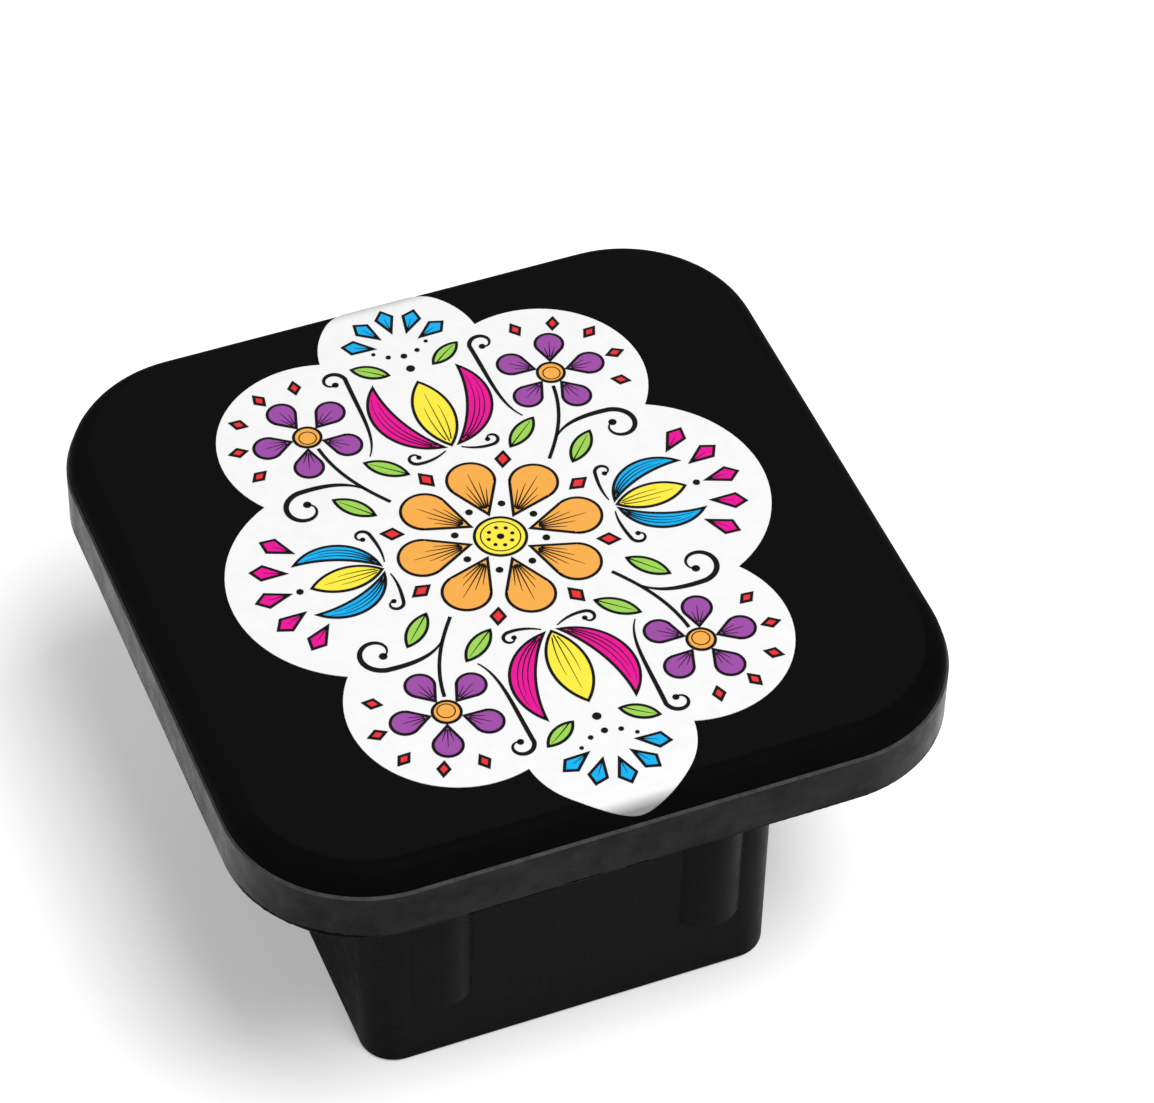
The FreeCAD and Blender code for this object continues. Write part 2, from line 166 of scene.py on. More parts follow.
def outlines_of(node):
    """The closed outline of each field of a printed ink, as lists of flat points."""
    mesh = frame["nodes"][node].data
    places = [tuple(round(c * PLACES_PER_METRE) for c in v.co) for v in mesh.vertices]
    spot = {place: v.co for place, v in zip(places, mesh.vertices)}
    rims = {}
    for polygon in mesh.polygons:
        corners = [places[i] for i in polygon.vertices]
        middle = sum(spot[c].z for c in corners) / len(corners)
        if polygon.normal.z < FACES_UP or middle < LOWEST_TOP:
            continue
        for a, b in zip(corners, corners[1:] + corners[:1]):
            if (b, a) in rims:
                del rims[(b, a)]
            else:
                rims[(a, b)] = True
    follow = {a: b for a, b in rims}
    outlines = []
    while follow:
        start, here = follow.popitem()
        loop = [start]
        while here != start:
            loop.append(here)
            here = follow.pop(here)
        outlines.append([Vector((spot[p].x, spot[p].y)) for p in loop])
    return outlines


CORNER_TURN = math.radians(34)
ARC_STEPS = 3


def turn_at(before, here, after):
    """How far a line turns at one of its points."""
    return abs((here - before).angle_signed(after - here, 0.0))


def smoothed(loop):
    """The loop with its arcs made rounder and its corners kept."""
    count = len(loop)
    turns = [turn_at(loop[i - 1], loop[i], loop[(i + 1) % count]) for i in range(count)]
    sharp = [turn > CORNER_TURN for turn in turns]
    result = []
    for i in range(count):
        a, b = loop[i], loop[(i + 1) % count]
        result.append(a)
        if sharp[i] and sharp[(i + 1) % count]:
            continue
        before = a * 2 - b if sharp[i] else loop[i - 1]
        after = b * 2 - a if sharp[(i + 1) % count] else loop[(i + 2) % count]
        for k in range(1, ARC_STEPS):
            t = k / ARC_STEPS
            result.append(
                0.5 * (
                    2 * a
                    + (b - before) * t
                    + (2 * before - 5 * a + 4 * b - after) * t ** 2
                    + (3 * a - before - 3 * b + after) * t ** 3
                )
            )
    return result


def flanks(loop, centre):
    """The two sides of a field, each from its root, nearest the centre, to its far tip."""
    root = min(range(len(loop)), key=lambda i: (loop[i] - centre).length)
    tip = max(range(len(loop)), key=lambda i: (loop[i] - loop[root]).length)
    turned = loop[root:] + loop[:root]
    tip = (tip - root) % len(loop)
    one = turned[:tip + 1]
    other = [turned[0]] + turned[:tip - 1:-1]
    return one, other


STATIONS = 60
VEIN_STEPS = 10
VEIN_TIP = 0.25
VEIN_TAPER = 0.8


def at_shares(line, shares):
    """Points at shares of a line's length."""
    dense = spaced(line, sum((b - a).length for a, b in zip(line, line[1:])) / STATIONS)
    return [dense[min(len(dense) - 1, round(share * (len(dense) - 1)))] for share in shares]


def vein(store, loop, centre, across, start, end, width):
    """A tapered line inside a field, at a share of the way across from one side to the other."""
    one, other = flanks(loop, centre)
    stops = [start + (end - start) * i / VEIN_STEPS for i in range(VEIN_STEPS + 1)]
    near = at_shares(one, stops)
    far = at_shares(other, stops)
    points = [a.lerp(b, across) for a, b in zip(near, far)]
    widths = []
    for i in range(VEIN_STEPS + 1):
        widths.append(width * (VEIN_TIP + (1 - VEIN_TIP) * (1 - i / VEIN_STEPS) ** VEIN_TAPER))
    ink_line(store, points, widths)


# Finishes

def node_of(tree, kind, **settings):
    """A new node with some of its inputs and properties set."""
    made = tree.nodes.new(kind)
    for key, setting in settings.items():
        if key in made.inputs:
            made.inputs[key].default_value = setting
        else:
            setattr(made, key, setting)
    return made


def effect(name, inputs, outputs):
    """A node group with named inputs and outputs, and its two end nodes."""
    tree = bpy.data.node_groups.new(name, "ShaderNodeTree")
    for label, kind, start in inputs:
        socket = tree.interface.new_socket(label, in_out="INPUT", socket_type=kind)
        socket.default_value = start
    for label, kind in outputs:
        tree.interface.new_socket(label, in_out="OUTPUT", socket_type=kind)
    return tree, tree.nodes.new("NodeGroupInput"), tree.nodes.new("NodeGroupOutput")


def scaled_place(tree, ends, label):
    """The place on the cover, in metres, times an input of the group."""
    coords = node_of(tree, "ShaderNodeTexCoord")
    stretch = node_of(tree, "ShaderNodeVectorMath", operation="SCALE")
    tree.links.new(coords.outputs["Object"], stretch.inputs[0])
    tree.links.new(ends.outputs[label], stretch.inputs["Scale"])
    return stretch.outputs[0]


CLOUD_EDGES = (0.32, 0.68)
PIT_EDGES = (0.05, 0.22)
PATCH_EDGES = (0.35, 0.65)
PIT_SCALE = 0.35


def edges_of(tree, edges):
    """A node that spreads the values between two edges over the whole range."""
    made = node_of(tree, "ShaderNodeMapRange")
    made.inputs["From Min"].default_value, made.inputs["From Max"].default_value = edges
    return made


def make_mottle():
    """Cloudy change of a colour, and a value for the roughness that goes with it."""
    tree, into, out = effect(
        "mottle",
        [
            ("Dark", "NodeSocketColor", (0, 0, 0, 1)),
            ("Light", "NodeSocketColor", (1, 1, 1, 1)),
            ("Scale", "NodeSocketFloat", 400.0),
            ("Detail", "NodeSocketFloat", 6.0),
            ("Smooth", "NodeSocketFloat", 0.4),
            ("Rough", "NodeSocketFloat", 0.6),
        ],
        [("Color", "NodeSocketColor"), ("Roughness", "NodeSocketFloat"), ("Cloud", "NodeSocketFloat")],
    )
    clouds = node_of(tree, "ShaderNodeTexNoise")
    tree.links.new(scaled_place(tree, into, "Scale"), clouds.inputs["Vector"])
    clouds.inputs["Scale"].default_value = 1.0
    tree.links.new(into.outputs["Detail"], clouds.inputs["Detail"])
    spread = edges_of(tree, CLOUD_EDGES)
    tree.links.new(clouds.outputs["Fac"], spread.inputs["Value"])
    blend = node_of(tree, "ShaderNodeMix", data_type="RGBA")
    tree.links.new(spread.outputs[0], blend.inputs["Factor"])
    tree.links.new(into.outputs["Dark"], blend.inputs[6])
    tree.links.new(into.outputs["Light"], blend.inputs[7])
    tree.links.new(blend.outputs[2], out.inputs["Color"])
    rough = node_of(tree, "ShaderNodeMapRange")
    tree.links.new(spread.outputs[0], rough.inputs["Value"])
    tree.links.new(into.outputs["Smooth"], rough.inputs["To Min"])
    tree.links.new(into.outputs["Rough"], rough.inputs["To Max"])
    tree.links.new(rough.outputs[0], out.inputs["Roughness"])
    tree.links.new(spread.outputs[0], out.inputs["Cloud"])
    return tree


def make_grain():
    """The fine raised grain of a moulded or printed surface."""
    tree, into, out = effect(
        "grain",
        [
            ("Scale", "NodeSocketFloat", 3000.0),
            ("Wave Scale", "NodeSocketFloat", 300.0),
            ("Wave Share", "NodeSocketFloat", 0.4),
        ],
        [("Height", "NodeSocketFloat"), ("Pits", "NodeSocketFloat")],
    )
    fine = node_of(tree, "ShaderNodeTexNoise", Scale=1.0, Detail=3.0, Roughness=0.6)
    tree.links.new(scaled_place(tree, into, "Scale"), fine.inputs["Vector"])
    wave = node_of(tree, "ShaderNodeTexNoise", Scale=1.0, Detail=2.0)
    tree.links.new(scaled_place(tree, into, "Wave Scale"), wave.inputs["Vector"])
    blend = node_of(tree, "ShaderNodeMix", data_type="FLOAT")
    tree.links.new(into.outputs["Wave Share"], blend.inputs["Factor"])
    tree.links.new(fine.outputs["Fac"], blend.inputs[2])
    tree.links.new(wave.outputs["Fac"], blend.inputs[3])
    tree.links.new(blend.outputs[0], out.inputs["Height"])
    pits = node_of(tree, "ShaderNodeTexVoronoi", feature="F1", Scale=PIT_SCALE)
    tree.links.new(scaled_place(tree, into, "Scale"), pits.inputs["Vector"])
    near = edges_of(tree, PIT_EDGES)
    near.inputs["To Min"].default_value = 1.0
    near.inputs["To Max"].default_value = 0.0
    tree.links.new(pits.outputs["Distance"], near.inputs["Value"])
    tree.links.new(near.outputs[0], out.inputs["Pits"])
    return tree


MOTTLE = make_mottle()
GRAIN = make_grain()


BUMP_REACH = 0.2 * MM


def placed(tree, group, **values):
    """A shared effect placed in a material, with its own values."""
    made = tree.nodes.new("ShaderNodeGroup")
    made.node_tree = group
    for label, value in values.items():
        made.inputs[label.replace("_", " ")].default_value = value
    return made


def grained(name, dark, light, mottle, grain, depth, specular):
    """A finish of mottled colour and roughness with a fine grain, and its shader."""
    material = bpy.data.materials.new(name)
    material.use_nodes = True
    tree = material.node_tree
    shader = tree.nodes["Principled BSDF"]
    shader.inputs["Specular IOR Level"].default_value = specular
    cloud = placed(tree, MOTTLE, Dark=(*dark, 1), Light=(*light, 1), **mottle)
    tree.links.new(cloud.outputs["Color"], shader.inputs["Base Color"])
    tree.links.new(cloud.outputs["Roughness"], shader.inputs["Roughness"])
    relief = placed(tree, GRAIN, **grain)
    bump = node_of(tree, "ShaderNodeBump", Strength=depth, Distance=BUMP_REACH)
    tree.links.new(relief.outputs["Height"], bump.inputs["Height"])
    tree.links.new(bump.outputs["Normal"], shader.inputs["Normal"])
    return material, tree, shader, cloud, relief


def times(tree, mask, amount):
    """A mask made weaker by an amount."""
    weaker = node_of(tree, "ShaderNodeMath", operation="MULTIPLY")
    weaker.inputs[1].default_value = amount
    tree.links.new(mask, weaker.inputs[0])
    return weaker.outputs[0]


def blended(tree, amount, below, above):
    """One colour laid over another by an amount."""
    mix = node_of(tree, "ShaderNodeMix", data_type="RGBA")
    tree.links.new(amount, mix.inputs["Factor"])
    for socket, colour in ((mix.inputs[6], below), (mix.inputs[7], above)):
        if isinstance(colour, tuple):
            socket.default_value = (*colour, 1)
        else:
            tree.links.new(colour, socket)
    return mix.outputs[2]


def make_band():
    """A mask that rises from zero to one between two heights on the cover, broken up by its grain."""
    tree, into, out = effect(
        "band",
        [
            ("Low", "NodeSocketFloat", 0.0),
            ("High", "NodeSocketFloat", 0.001),
            ("Patch Scale", "NodeSocketFloat", 300.0),
            ("Patch Share", "NodeSocketFloat", 0.3),
        ],
        [("Mask", "NodeSocketFloat")],
    )
    coords = node_of(tree, "ShaderNodeTexCoord")
    axes = node_of(tree, "ShaderNodeSeparateXYZ")
    tree.links.new(coords.outputs["Object"], axes.inputs[0])
    rise = node_of(tree, "ShaderNodeMapRange")
    tree.links.new(axes.outputs["Z"], rise.inputs["Value"])
    tree.links.new(into.outputs["Low"], rise.inputs["From Min"])
    tree.links.new(into.outputs["High"], rise.inputs["From Max"])
    patch = node_of(tree, "ShaderNodeTexNoise", Scale=1.0, Detail=5.0, Roughness=0.65)
    tree.links.new(scaled_place(tree, into, "Patch Scale"), patch.inputs["Vector"])
    spread = edges_of(tree, PATCH_EDGES)
    tree.links.new(patch.outputs["Fac"], spread.inputs["Value"])
    worn = node_of(tree, "ShaderNodeMath", operation="SUBTRACT")
    worn.inputs[0].default_value = 1.0
    lost = node_of(tree, "ShaderNodeMath", operation="MULTIPLY")
    tree.links.new(spread.outputs[0], lost.inputs[0])
    tree.links.new(into.outputs["Patch Share"], lost.inputs[1])
    tree.links.new(lost.outputs[0], worn.inputs[1])
    mask = node_of(tree, "ShaderNodeMath", operation="MULTIPLY")
    tree.links.new(rise.outputs[0], mask.inputs[0])
    tree.links.new(worn.outputs[0], mask.inputs[1])
    tree.links.new(mask.outputs[0], out.inputs["Mask"])
    return tree


BAND = make_band()


FLANGE_SHINE = 0.86
FLANGE_SHINE_IOR = 1.18
SATIN = 0.3
TALC_SHARE = 0.3
# paler grey of the flange's walls: partly a dusty film, partly painted light that keeps the flange lighter
# than the plug in its shade
DUST_AND_LIGHT_GREY = (0.0065, 0.0065, 0.0068)
# painted highlight along the rim's bevel
RIM_HIGHLIGHT_GREY = (0.066, 0.066, 0.068)
TALC_GREY = (0.05, 0.05, 0.053)
FLANGE_FOOT = {"Low": PLUG_LENGTH, "High": PLUG_LENGTH + 0.1 * MM}
RIM_EDGE = {"Low": RIM_HEIGHT - 0.32 * MM, "High": RIM_HEIGHT - 0.25 * MM}


def make_rubber():
    """Black moulded rubber: shiny on the flange, with a paler grey on the flange's walls that is partly dust
    and partly painted light, a painted highlight along the rim, and talc in the pits.
    """
    material, tree, shader, cloud, relief = grained(
        "black moulded rubber",
        dark=(0.0046, 0.0046, 0.0048),
        light=(0.006, 0.006, 0.0063),
        mottle={"Scale": 420.0, "Smooth": 0.24, "Rough": 0.36},
        grain={"Scale": 5200.0, "Wave_Scale": 420.0, "Wave_Share": 0.35},
        depth=0.2,
        specular=0.04,
    )
    shader.inputs["Coat IOR"].default_value = FLANGE_SHINE_IOR
    shader.inputs["Coat Roughness"].default_value = SATIN
    # mask of the flange's walls, where the paler grey is laid: partly dust, partly painted light
    dust_and_light = placed(tree, BAND, **FLANGE_FOOT, Patch_Scale=520.0, Patch_Share=0.5)
    # mask of the rim's bevel, where a painted highlight is laid
    rim_highlight = placed(tree, BAND, **RIM_EDGE, Patch_Scale=900.0, Patch_Share=0.45)
    shine = placed(tree, BAND, **FLANGE_FOOT, Patch_Scale=260.0, Patch_Share=0.75)
    talc = times(tree, relief.outputs["Pits"], TALC_SHARE)
    # the flange's walls made paler: partly dust, partly painted light
    black = blended(tree, dust_and_light.outputs["Mask"], cloud.outputs["Color"], DUST_AND_LIGHT_GREY)
    # painted highlight: the rim's bevel made light grey
    black = blended(tree, rim_highlight.outputs["Mask"], black, RIM_HIGHLIGHT_GREY)
    black = blended(tree, talc, black, TALC_GREY)
    tree.links.new(black, shader.inputs["Base Color"])
    tree.links.new(times(tree, shine.outputs["Mask"], FLANGE_SHINE), shader.inputs["Coat Weight"])
    return material


GLAZE_WEIGHT = 0.24
GLAZE_LOW = 52.6 * MM
GLAZE_HIGH = 52.69 * MM
# painted light on the rolled edge: none at the front, in full from here back
EDGE_LIGHT_FRONT = -37.0 * MM
EDGE_LIGHT_FULL = -18.0 * MM
# lighter black painted on the side and back rolls, standing in for light
EDGE_PAINTED_LIGHT_BLACK = (0.0056, 0.0056, 0.0057)


def make_reach():
    """A mask that rises from zero to one from one place to another, front to back."""
    tree, into, out = effect(
        "reach",
        [("Front", "NodeSocketFloat", 0.0), ("Back", "NodeSocketFloat", 0.01)],
        [("Mask", "NodeSocketFloat")],
    )
    coords = node_of(tree, "ShaderNodeTexCoord")
    axes = node_of(tree, "ShaderNodeSeparateXYZ")
    tree.links.new(coords.outputs["Object"], axes.inputs[0])
    rise = node_of(tree, "ShaderNodeMapRange", interpolation_type="SMOOTHSTEP")
    tree.links.new(axes.outputs["Y"], rise.inputs["Value"])
    tree.links.new(into.outputs["Front"], rise.inputs["From Min"])
    tree.links.new(into.outputs["Back"], rise.inputs["From Max"])
    tree.links.new(rise.outputs[0], out.inputs["Mask"])
    return tree


REACH = make_reach()


def make_black_face():
    """The black of the printed face: a satin glaze on its flat, and a rolled edge painted a lighter black on
    the sides and back as painted light, but left its own darker black along the front."""
    material, tree, shader, cloud, _ = grained(
        "black printed face",
        dark=(0.0027, 0.0027, 0.0028),
        light=(0.0034, 0.0034, 0.0035),
        mottle={"Scale": 150.0, "Smooth": 0.42, "Rough": 0.52},
        grain={"Scale": 2600.0, "Wave_Scale": 260.0, "Wave_Share": 0.6},
        depth=0.05,
        specular=0.004,
    )
    shader.inputs["Coat Roughness"].default_value = SATIN
    flat = placed(tree, BAND, Low=GLAZE_LOW, High=GLAZE_HIGH, Patch_Scale=200.0, Patch_Share=0.08)
    side = placed(tree, REACH, Front=EDGE_LIGHT_FRONT, Back=EDGE_LIGHT_FULL)
    # painted light: the rolls off the flat, away from the front, are made lighter
    painted_light_edge = node_of(tree, "ShaderNodeMath", operation="SUBTRACT", use_clamp=True)
    tree.links.new(side.outputs["Mask"], painted_light_edge.inputs[0])
    tree.links.new(flat.outputs["Mask"], painted_light_edge.inputs[1])
    black = blended(tree, painted_light_edge.outputs[0], cloud.outputs["Color"], EDGE_PAINTED_LIGHT_BLACK)
    tree.links.new(black, shader.inputs["Base Color"])
    tree.links.new(times(tree, flat.outputs["Mask"], GLAZE_WEIGHT), shader.inputs["Coat Weight"])
    return material


THICK_INK_SHADE = 0.965


def make_ink(slot, colour):
    """A screen ink: a little darker where it lies thicker, with the plate's satin gloss."""
    dark = tuple(c * THICK_INK_SHADE for c in colour)
    material, *_ = grained(
        slot.replace("_", " "),
        dark=dark,
        light=colour,
        mottle={"Scale": 650.0, "Smooth": 0.3, "Rough": 0.4},
        grain={"Scale": 3000.0, "Wave_Scale": 300.0, "Wave_Share": 0.55},
        depth=0.08,
        specular=0.3,
    )
    return material


# painted shade on the white ink over the rolled edge: from the top down to this height it greys
EDGE_SHADE_LOW = 51.3 * MM
EDGE_SHADE_FACTOR = 0.28


def shade_painted_on_roll(material, colour):
    """The white ink is darkened to grey where it runs over the plate's rolled edge: painted shade."""
    tree = material.node_tree
    shader = tree.nodes["Principled BSDF"]
    full = shader.inputs["Base Color"].links[0].from_socket
    # painted shade: the white darkened where the edge rolls away
    thin = tuple(c * EDGE_SHADE_FACTOR for c in colour)
    cover = placed(tree, BAND, Low=EDGE_SHADE_LOW, High=WHITE_TOP, Patch_Scale=500.0, Patch_Share=0.0)
    tree.links.new(blended(tree, cover.outputs["Mask"], thin, full), shader.inputs["Base Color"])


INK_COLOURS = {
    "ink_white": (0.94, 0.94, 0.945),
    "ink_magenta": (0.855, 0.0056, 0.3185),
    "ink_blue": (0.007, 0.4564, 0.9131),
    "ink_orange": (0.9647, 0.4397, 0.0782),
    "ink_yellow": (1.0, 0.855, 0.0612),
    "ink_green": (0.3515, 0.6867, 0.0976),
    "ink_purple": (0.3515, 0.0782, 0.3916),
    "ink_red": (0.8714, 0.0356, 0.0423),
}
LINE_BLACK = (0.004, 0.004, 0.0042)

FINISHES = {"black_rubber": make_rubber(), "black_face": make_black_face()}
FINISHES.update({slot: make_ink(slot, colour) for slot, colour in INK_COLOURS.items()})
# the white ink gets painted shade over the rolled edge
shade_painted_on_roll(FINISHES["ink_white"], INK_COLOURS["ink_white"])
LINE_INK = make_ink("black line ink", LINE_BLACK)

NODE_SLOTS = {row["node"]: row["material_slot"] for row in frame["record"]["subparts"]}
for node, slot in NODE_SLOTS.items():
    for holder in frame["nodes"][node].material_slots:
        holder.material = FINISHES[slot]


# The black line work of the print

OUTLINE_WIDTH = 0.33 * MM
COLOURED = [node for node in NODE_SLOTS if node.startswith("print_") and node != "print_white"]
OUTLINES = {node: [smoothed(loop) for loop in outlines_of(node)] for node in COLOURED}


# the line work is laid out in millimetres of the drawing, and printed at this scale
PRINT_SCALE = 0.9968 * MM
MIDDLE = Vector((0.0, 0.0))
DAISY_CENTRE = Vector((14.3, 21.2)) * PRINT_SCALE


def four_ways(point):
    """A point and its mirror images over the middle lines of the face."""
    return [Vector((sx * point.x, sy * point.y)) for sx in (1, -1) for sy in (1, -1)]


def middle_of(loop):
    """The mean of a loop's points."""
    return sum(loop, Vector((0.0, 0.0))) / len(loop)


def make_outlines():
    """The black outline of each field of colour."""
    store = ([], [])
    for loops in OUTLINES.values():
        for loop in loops:
            ink_line(store, loop, [OUTLINE_WIDTH] * len(loop), closed=True)
    return new_piece("field_outlines", *store, LINE_INK, "black_face")


def veins(store, loop, root, lines, width):
    """A field's veins: each line's share of the way across, and where it starts and ends."""
    for across, start, end in lines:
        vein(store, loop, root, across, start, end, width)


# each line's share of the way across a field, and the shares where it starts and ends
ROSETTE_VEINS = (
    (0.5, 0.1, 0.7),
    (0.36, 0.1, 0.55),
    (0.64, 0.1, 0.55),
    (0.22, 0.12, 0.42),
    (0.78, 0.12, 0.42),
)
DAISY_VEINS = ((0.5, 0.12, 0.62), (0.3, 0.12, 0.46), (0.7, 0.12, 0.46))
LEAF_VEINS = ((0.5, 0.0, 0.86),)
LONG_VEINS = ((0.3, 0.06, 0.82), (0.5, 0.1, 0.7), (0.7, 0.06, 0.86))
RAY_VEINS = ((0.5, 0.08, 0.6),)
HEART_VEINS = ((0.5, 0.06, 0.8), (0.3, 0.1, 0.6), (0.7, 0.1, 0.6))
ROSETTE_REACH = 12 * MM
EYE_REACH = 5 * MM
LONG_PETAL = 3 * MM


def make_veins():
    """Lines in the petals and leaves that run from each one's root towards its tip."""
    store = ([], [])
    for loop in OUTLINES["print_orange"]:
        if middle_of(loop).length < ROSETTE_REACH:
            veins(store, loop, MIDDLE, ROSETTE_VEINS, 0.21 * MM)
    for loop in OUTLINES["print_purple"]:
        here = middle_of(loop)
        centre = min(four_ways(DAISY_CENTRE), key=lambda c: (c - here).length)
        veins(store, loop, centre, DAISY_VEINS, 0.17 * MM)
    for loop in OUTLINES["print_green"]:
        veins(store, loop, MIDDLE, LEAF_VEINS, 0.18 * MM)
    for node in ("print_magenta", "print_blue"):
        for loop in OUTLINES[node]:
            reach = max((a - middle_of(loop)).length for a in loop)
            if reach > LONG_PETAL:
                veins(store, loop, MIDDLE, LONG_VEINS, 0.19 * MM)
            else:
                veins(store, loop, MIDDLE, RAY_VEINS, 0.14 * MM)
    for loop in OUTLINES["print_yellow"]:
        if middle_of(loop).length > EYE_REACH:
            veins(store, loop, MIDDLE, HEART_VEINS, 0.16 * MM)
    return new_piece("petal_veins", *store, LINE_INK, "black_face")


STEM_STEPS = 26
COIL_STEPS = 40
COIL_TIGHTENING = 0.85


def bent(*places):
    """Points of a bent line between two places, drawn towards two others on the way."""
    start, first, second, end = (Vector(place) for place in places)
    points = []
    for i in range(STEM_STEPS):
        t = i / STEM_STEPS
        u = 1 - t
        points.append(start * u ** 3 + first * 3 * u * u * t + second * 3 * u * t * t + end * t ** 3)
    return points


def coiled(centre, first, sweep, wide, narrow):
    """Points of a coil about a centre that tightens from a wide to a narrow radius."""
    points = []
    for i in range(COIL_STEPS + 1):
        share = i / COIL_STEPS
        angle = math.radians(first + sweep * share)
        reach = wide + (narrow - wide) * share ** COIL_TIGHTENING
        points.append(Vector(centre) + Vector((math.cos(angle), math.sin(angle))) * reach)
    return points


TENDRILS = (
    # a bent stem, the coil that it ends in, its widest line and its dot
    {
        "stem": ((11.1, 11.7), (12.6, 13.6), (15.2, 13.9), (18.1, 13.7)),
        "coil": ((18.1, 11.1), 90, -330, 2.6, 0.75),
        "width": 0.62,
        "dot": 0.46,
    },
    {
        "stem": ((8.9, 16.2), (7.2, 18.6), (7.6, 22.5), (7.35, 28.4)),
        "coil": ((8.85, 28.4), 180, -290, 1.5, 0.55),
        "width": 0.5,
        "dot": 0.38,
    },
    {
        "stem": ((12.9, 0.9), (12.6, 2.2), (12.7, 3.6), (13.0, 5.2)),
        "coil": ((13.95, 5.2), 180, -270, 0.95, 0.42),
        "width": 0.4,
        "dot": 0.3,
    },
    {
        "stem": ((0.9, 14.1), (2.0, 13.4), (3.2, 13.1), (4.4, 13.25)),
        "coil": ((4.4, 14.15), -90, 270, 0.9, 0.4),
        "width": 0.4,
        "dot": 0.3,
    },
)
DAISY_STEM = ((9.2, 9.0), (10.8, 11.2), (13.2, 14.5), (13.75, 19.3))
DAISY_STEM_WIDTH = 0.4
TENDRIL_TIP_WIDTH = 0.14
SWELL_PLACE = 0.8
SWELL_FALL = 1.3


def mirrored_line(store, line, widths):
    """An ink line and its mirror images over the middle lines of the face."""
    for sx, sy in ((1, 1), (-1, 1), (1, -1), (-1, -1)):
        points = [Vector((sx * p.x, sy * p.y)) for p in line]
        if sx * sy < 0:
            ink_line(store, points[::-1], widths[::-1])
        else:
            ink_line(store, points, widths)


def swelling(count, thin, thick):
    """Line widths that swell from thin to thick a third of the way along and thin out again."""
    widths = []
    for i in range(count):
        share = i / (count - 1)
        swell = max(0.0, math.sin(math.pi * share ** SWELL_PLACE))
        widths.append((thin + (thick - thin) * swell ** SWELL_FALL) * PRINT_SCALE)
    return widths


def make_tendrils():
    """The stems and curling tendrils of the vine, each tendril with a dot at its end."""
    store = ([], [])
    for tendril in TENDRILS:
        line = [p * PRINT_SCALE for p in bent(*tendril["stem"]) + coiled(*tendril["coil"])]
        mirrored_line(store, line, swelling(len(line), TENDRIL_TIP_WIDTH, tendril["width"]))
        for point in four_ways(line[-1]):
            ink_dot(store, point, tendril["dot"] * PRINT_SCALE)
    stem = [p * PRINT_SCALE for p in bent(*DAISY_STEM)] + [Vector(DAISY_STEM[-1]) * PRINT_SCALE]
    mirrored_line(store, stem, [DAISY_STEM_WIDTH * PRINT_SCALE] * len(stem))
    return new_piece("vine_tendrils", *store, LINE_INK, "black_face")


DOTS = (
    # places in the drawing and each dot's radius, mirrored four ways
    ((22.75, 0.0), 0.4),
    ((0.0, 27.4), 0.5),
    ((0.0, 29.5), 0.38),
    ((1.7, 29.9), 0.3),
    ((3.1, 30.9), 0.24),
)
ROSETTE_DOTS = {"count": 8, "away": 4.9, "radius": 0.42, "first": 22.5}
STAMEN_DOTS = {"count": 8, "away": 1.35, "radius": 0.24, "first": 0.0}
PISTIL_RADIUS = 0.42
RING_SIDES = 40
RING_TURNS = [2 * math.pi * i / RING_SIDES for i in range(RING_SIDES)]
SAME_PLACE = 1e-6
EYE_RINGS = (
    # centre, radius and width of a ring line in the eye of a flower
    (MIDDLE, 2.15, 0.15),
    (DAISY_CENTRE / PRINT_SCALE, 0.95, 0.14),
)


def dot_ring(store, count, away, radius, first):
    """Dots in a ring about the middle of the face."""
    for i in range(count):
        angle = math.radians(first + 360 * i / count)
        place = Vector((math.cos(angle), math.sin(angle))) * away
        ink_dot(store, place * PRINT_SCALE, radius * PRINT_SCALE)


def make_dots():
    """The dots between the motifs, and the rings and dots in the eyes of the flowers."""
    store = ([], [])
    for place, radius in DOTS:
        kept = []
        for point in four_ways(Vector(place) * PRINT_SCALE):
            if all((point - other).length > SAME_PLACE for other in kept):
                kept.append(point)
                ink_dot(store, point, radius * PRINT_SCALE)
    dot_ring(store, **ROSETTE_DOTS)
    dot_ring(store, **STAMEN_DOTS)
    ink_dot(store, MIDDLE, PISTIL_RADIUS * PRINT_SCALE)
    for centre, radius, width in EYE_RINGS:
        places = four_ways(centre) if centre.length > 0 else [MIDDLE]
        for place in places:
            ring = [place + Vector((math.cos(a), math.sin(a))) * radius for a in RING_TURNS]
            points = [p * PRINT_SCALE for p in ring]
            ink_line(store, points, [width * PRINT_SCALE] * RING_SIDES, closed=True)
    return new_piece("print_dots", *store, LINE_INK, "black_face")


make_outlines()
make_veins()
make_tendrils()
make_dots()


# The flash of the mould along the flange's lower edge

def rounded_square_line(half, corner, step):
    """Points and outward ways round a square with rounded corners."""
    stations = []
    run = half - corner
    for quarter in range(4):
        turn = math.pi / 2 * quarter
        spin = Matrix.Rotation(turn, 2)
        side_count = round(2 * run / step)
        for i in range(side_count):
            along = -run + 2 * run * i / side_count
            stations.append((spin @ Vector((half, along)), spin @ Vector((1, 0))))
        arc_count = round(math.pi / 2 * corner / step)
        for i in range(arc_count):
            angle = math.pi / 2 * i / arc_count
            way = Vector((math.cos(angle), math.sin(angle)))
            stations.append((spin @ (Vector((run, run)) + way * corner), spin @ way))
    return stations


FLASH_STEP = 0.32 * MM
FLASH_DEPTH = 0.16 * MM
FLASH_REACH = 0.32 * MM
FLASH_ROOT = 0.5 * MM
FLASH_DROOP = 0.05 * MM
PATCHES_PER_METRE = 140
CLEAN_SHARE = 0.12
CLEAN_RIGHT_FROM = 6.0 * MM
CLEAN_BACK_FROM = -22.0 * MM
CLEAN_FADE = 10.0 * MM


